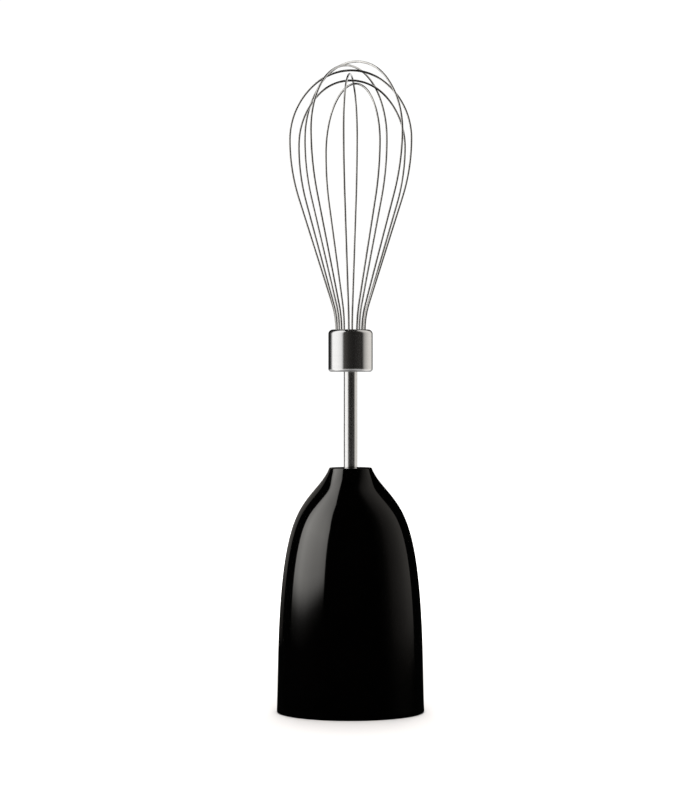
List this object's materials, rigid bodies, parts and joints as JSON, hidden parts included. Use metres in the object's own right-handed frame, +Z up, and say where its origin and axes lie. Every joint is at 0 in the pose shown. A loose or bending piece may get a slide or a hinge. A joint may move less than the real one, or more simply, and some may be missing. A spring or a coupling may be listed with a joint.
{
  "type": "whisk attachment",
  "caption": "Balloon whisk attachment of a stick mixer: a bell-shaped coupling with a planetary reduction gear drives a wire whisk on a plug-in shaft.",
  "frame": {"origin": "centre of the bell's rim, on the plane that the attachment stands on", "axes": "+Z up the common axis of bell, gears, shaft and whisk; the drive coupling's flat faces +X, and -Y is the front"},
  "size_m": [0.066, 0.066, 0.2911],
  "materials": {
    "bell": "high gloss",
    "sleeve": "satin",
    "seal_rubber": "matte",
    "gearbox_plastic": "satin",
    "ring_plastic": "satin",
    "gear_plastic": "satin",
    "coupling_plastic": "satin",
    "bronze": "satin",
    "pin_steel": "ground",
    "carrier_steel": "satin",
    "spring_steel": "satin",
    "screw_steel": "zinc plated",
    "shaft_steel": "polished",
    "ferrule_steel": "satin brushed",
    "wire_steel": "polished",
    "plug_plastic": "satin"
  },
  "bodies": {
    "housing": {"bell_shell": "bell", "coupling_sleeve": "sleeve", "socket_o_ring": "seal_rubber", "gearbox_housing": "gearbox_plastic", "gearbox_cover": "gearbox_plastic", "ring_gear": "ring_plastic", "cover_screws": "screw_steel", "housing_screws": "screw_steel", "input_bush": "bronze", "lower_output_bush": "bronze", "upper_output_bush": "bronze", "shaft_seal": "seal_rubber"},
    "output": {"output_carrier": "carrier_steel", "second_planet_pins": "pin_steel", "output_spindle": "pin_steel", "spindle_circlip": "spring_steel", "retaining_clip": "spring_steel"},
    "input": {"drive_coupling": "coupling_plastic", "input_shaft": "pin_steel", "sun_gear": "gear_plastic", "upper_thrust_washer": "bronze", "lower_thrust_washer": "bronze"},
    "first_carrier": {"first_carrier": "gear_plastic", "first_planet_pins": "pin_steel", "second_sun_gear": "gear_plastic"},
    "whisk": {"whisk_shaft": "shaft_steel", "ferrule": "ferrule_steel", "ferrule_plug": "plug_plastic", "whisk_wire_1": "wire_steel", "whisk_wire_2": "wire_steel", "whisk_wire_3": "wire_steel", "whisk_wire_4": "wire_steel", "whisk_wire_5": "wire_steel", "whisk_wire_6": "wire_steel"},
    "first_planet_gear_1": {"first_planet_gear_1": "gear_plastic"},
    "first_planet_gear_2": {"first_planet_gear_2": "gear_plastic"},
    "first_planet_gear_3": {"first_planet_gear_3": "gear_plastic"},
    "second_planet_gear_1": {"second_planet_gear_1": "gear_plastic"},
    "second_planet_gear_2": {"second_planet_gear_2": "gear_plastic"},
    "second_planet_gear_3": {"second_planet_gear_3": "gear_plastic"}
  },
  "joints": [
    {"name": "output_spin", "type": "hinge", "parent": "housing", "child": "output", "pos_m": [0, 0, 0.08], "axis": [0, 0, 1], "continuous": true},
    {"name": "whisk_pull", "type": "slide", "parent": "output", "child": "whisk", "axis": [0, 0, 1], "range_m": [0, 0.036], "deforming": ["retaining_clip"]},
    {"name": "first_carrier_spin", "type": "hinge", "parent": "housing", "child": "first_carrier", "pos_m": [0, 0, 0.045], "axis": [0, 0, 1], "continuous": true},
    {"name": "input_spin", "type": "hinge", "parent": "housing", "child": "input", "pos_m": [0, 0, 0.03], "axis": [0, 0, 1], "continuous": true},
    {"name": "second_planet_spin_1", "type": "hinge", "parent": "output", "child": "second_planet_gear_1", "pos_m": [0.0126, 0, 0.0508], "axis": [0, 0, 1], "continuous": true},
    {"name": "second_planet_spin_2", "type": "hinge", "parent": "output", "child": "second_planet_gear_2", "pos_m": [-0.0063, 0.01091, 0.0508], "axis": [0, 0, 1], "continuous": true},
    {"name": "second_planet_spin_3", "type": "hinge", "parent": "output", "child": "second_planet_gear_3", "pos_m": [-0.0063, -0.01091, 0.0508], "axis": [0, 0, 1], "continuous": true},
    {"name": "first_planet_spin_1", "type": "hinge", "parent": "first_carrier", "child": "first_planet_gear_1", "pos_m": [0.0126, 0, 0.0386], "axis": [0, 0, 1], "continuous": true},
    {"name": "first_planet_spin_2", "type": "hinge", "parent": "first_carrier", "child": "first_planet_gear_2", "pos_m": [-0.0063, 0.01091, 0.0386], "axis": [0, 0, 1], "continuous": true},
    {"name": "first_planet_spin_3", "type": "hinge", "parent": "first_carrier", "child": "first_planet_gear_3", "pos_m": [-0.0063, -0.01091, 0.0386], "axis": [0, 0, 1], "continuous": true}
  ],
  "couplings": [
    {"joint": "first_carrier_spin", "follows": "output_spin", "ratio": 4},
    {"joint": "input_spin", "follows": "output_spin", "ratio": 16},
    {"joint": "second_planet_spin_1", "follows": "output_spin", "ratio": -3},
    {"joint": "second_planet_spin_2", "follows": "output_spin", "ratio": -3},
    {"joint": "second_planet_spin_3", "follows": "output_spin", "ratio": -3},
    {"joint": "first_planet_spin_1", "follows": "output_spin", "ratio": -12},
    {"joint": "first_planet_spin_2", "follows": "output_spin", "ratio": -12},
    {"joint": "first_planet_spin_3", "follows": "output_spin", "ratio": -12}
  ]
}
